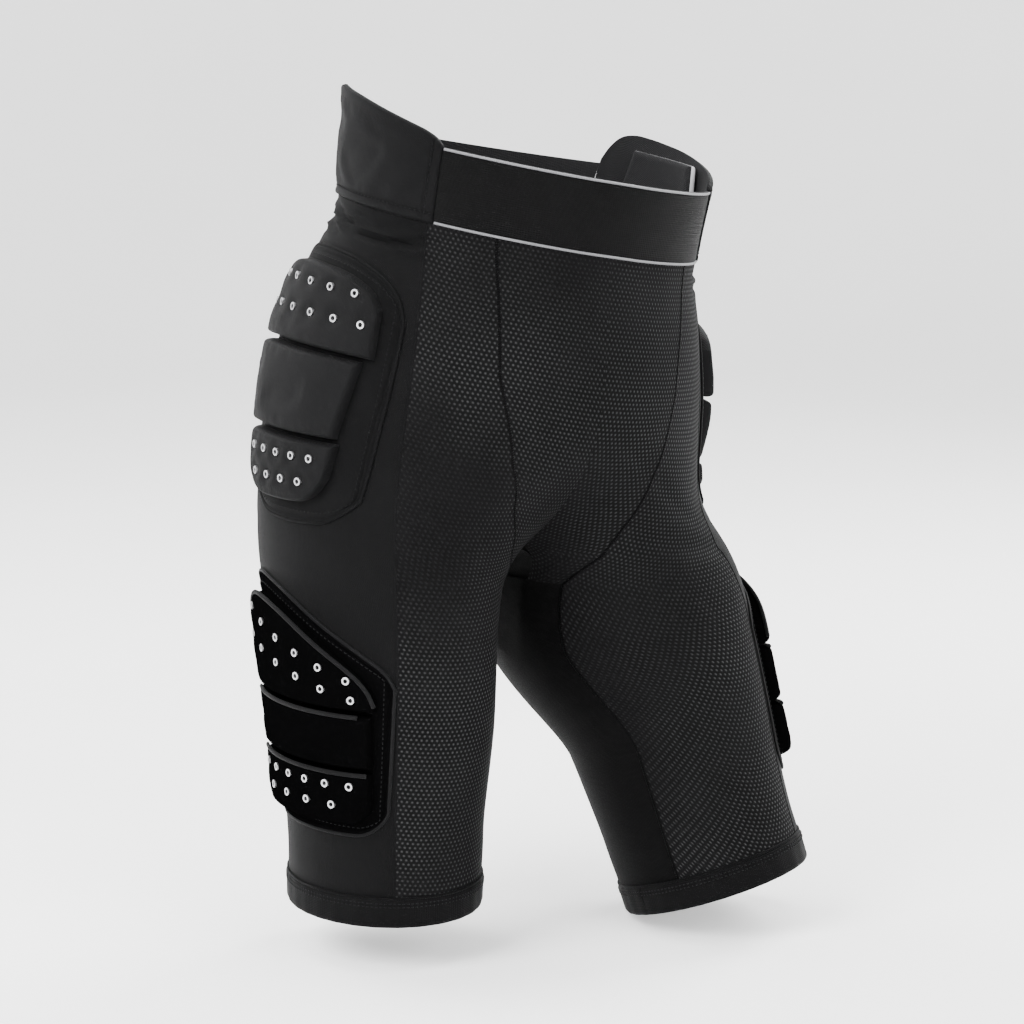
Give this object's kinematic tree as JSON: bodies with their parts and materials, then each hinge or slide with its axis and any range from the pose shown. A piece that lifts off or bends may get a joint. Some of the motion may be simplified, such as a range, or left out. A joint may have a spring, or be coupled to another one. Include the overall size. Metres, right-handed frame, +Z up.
{
  "type": "padded impact shorts",
  "caption": "Close-fitting short trousers with a tall waistband, raised hip wings and segmented pads on hips, thighs and tailbone, each pad with a removable foam insert behind it.",
  "frame": {"origin": "centre of the waist opening, level with the top edge of the waistband", "axes": "+Z up towards the waist, -Y towards the wearer's front, +X towards the wearer's left; stored in a stride, hips tilted 9.5 degrees and the left leg forward and out"},
  "size_m": [0.3716, 0.2851, 0.5823],
  "materials": {
    "mesh": "matte",
    "lycra": "satin",
    "waistband": "matte",
    "piping": "satin",
    "pad_cover": "matte",
    "thigh_cover": "matte",
    "binding": "matte",
    "foam": "matte",
    "eyelet": "satin"
  },
  "bodies": {
    "pelvis": {"waistband_front": "waistband", "waistband_back": "waistband", "waist_piping": "piping", "front_panel": "mesh", "seat_panel": "mesh", "gusset": "lycra", "wing_cover_right": "waistband", "wing_cover_left": "waistband", "hip_front_mesh_right": "mesh", "hip_front_mesh_left": "mesh", "hip_side_panel_right": "lycra", "hip_side_panel_left": "lycra", "hip_back_mesh_right": "mesh", "hip_back_mesh_left": "mesh", "hip_pad_base_right": "pad_cover", "hip_pad_base_left": "pad_cover", "hip_pad_upper_right": "pad_cover", "hip_pad_upper_left": "pad_cover", "hip_pad_middle_right": "pad_cover", "hip_pad_middle_left": "pad_cover", "hip_pad_lower_right": "pad_cover", "hip_pad_lower_left": "pad_cover", "hip_eyelets_right": "eyelet", "hip_eyelets_left": "eyelet", "hip_pocket_rim_right": "binding", "hip_pocket_rim_left": "binding", "tail_pad_base": "pad_cover", "tail_pad_upper": "pad_cover", "tail_pad_lower": "pad_cover", "tail_pocket_rim": "binding"},
    "leg_right": {"leg_front_mesh_right": "mesh", "leg_side_panel_right": "lycra", "leg_back_mesh_right": "mesh", "leg_inner_panel_right": "lycra", "leg_hem_right": "binding", "thigh_pad_base_right": "thigh_cover", "thigh_pad_upper_right": "thigh_cover", "thigh_pad_middle_right": "thigh_cover", "thigh_pad_lower_right": "thigh_cover", "thigh_eyelets_right": "eyelet", "thigh_pocket_rim_right": "binding"},
    "leg_left": {"leg_front_mesh_left": "mesh", "leg_side_panel_left": "lycra", "leg_back_mesh_left": "mesh", "leg_inner_panel_left": "lycra", "leg_hem_left": "binding", "thigh_pad_base_left": "thigh_cover", "thigh_pad_upper_left": "thigh_cover", "thigh_pad_middle_left": "thigh_cover", "thigh_pad_lower_left": "thigh_cover", "thigh_eyelets_left": "eyelet", "thigh_pocket_rim_left": "binding"},
    "crest_insert_right_foam": {"crest_insert_right": "foam"},
    "crest_insert_left_foam": {"crest_insert_left": "foam"},
    "hip_insert_right_foam": {"hip_insert_right": "foam"},
    "hip_insert_left_foam": {"hip_insert_left": "foam"},
    "tail_insert_foam": {"tail_insert": "foam"},
    "thigh_insert_right_foam": {"thigh_insert_right": "foam"},
    "thigh_insert_left_foam": {"thigh_insert_left": "foam"}
  },
  "joints": [
    {"name": "hip_swing_right", "type": "hinge", "parent": "pelvis", "child": "leg_right", "pos_m": [-0.1203, 0.008, -0.1978], "axis": [-0.9863, 0, 0.165], "range_deg": [-8, 12], "stiffness_Nm_per_rad": 3},
    {"name": "hip_swing_left", "type": "hinge", "parent": "pelvis", "child": "leg_left", "pos_m": [0.0494, 0.008, -0.226], "axis": [-0.9863, 0, 0.165], "range_deg": [-12, 8], "stiffness_Nm_per_rad": 3},
    {"name": "crest_insert_right_out", "type": "slide", "parent": "pelvis", "child": "crest_insert_right_foam", "axis": [1, 0, 0], "range_m": [0, 0.04]},
    {"name": "crest_insert_left_out", "type": "slide", "parent": "pelvis", "child": "crest_insert_left_foam", "axis": [-1, 0, 0], "range_m": [0, 0.04]},
    {"name": "hip_insert_right_out", "type": "slide", "parent": "pelvis", "child": "hip_insert_right_foam", "axis": [1, 0, 0], "range_m": [0, 0.04]},
    {"name": "hip_insert_left_out", "type": "slide", "parent": "pelvis", "child": "hip_insert_left_foam", "axis": [-1, 0, 0], "range_m": [0, 0.04]},
    {"name": "tail_insert_out", "type": "slide", "parent": "pelvis", "child": "tail_insert_foam", "axis": [0, -1, 0], "range_m": [0, 0.04]},
    {"name": "thigh_insert_right_out", "type": "slide", "parent": "leg_right", "child": "thigh_insert_right_foam", "axis": [1, 0, 0], "range_m": [0, 0.04]},
    {"name": "thigh_insert_left_out", "type": "slide", "parent": "leg_left", "child": "thigh_insert_left_foam", "axis": [-1, 0, 0], "range_m": [0, 0.04]}
  ]
}
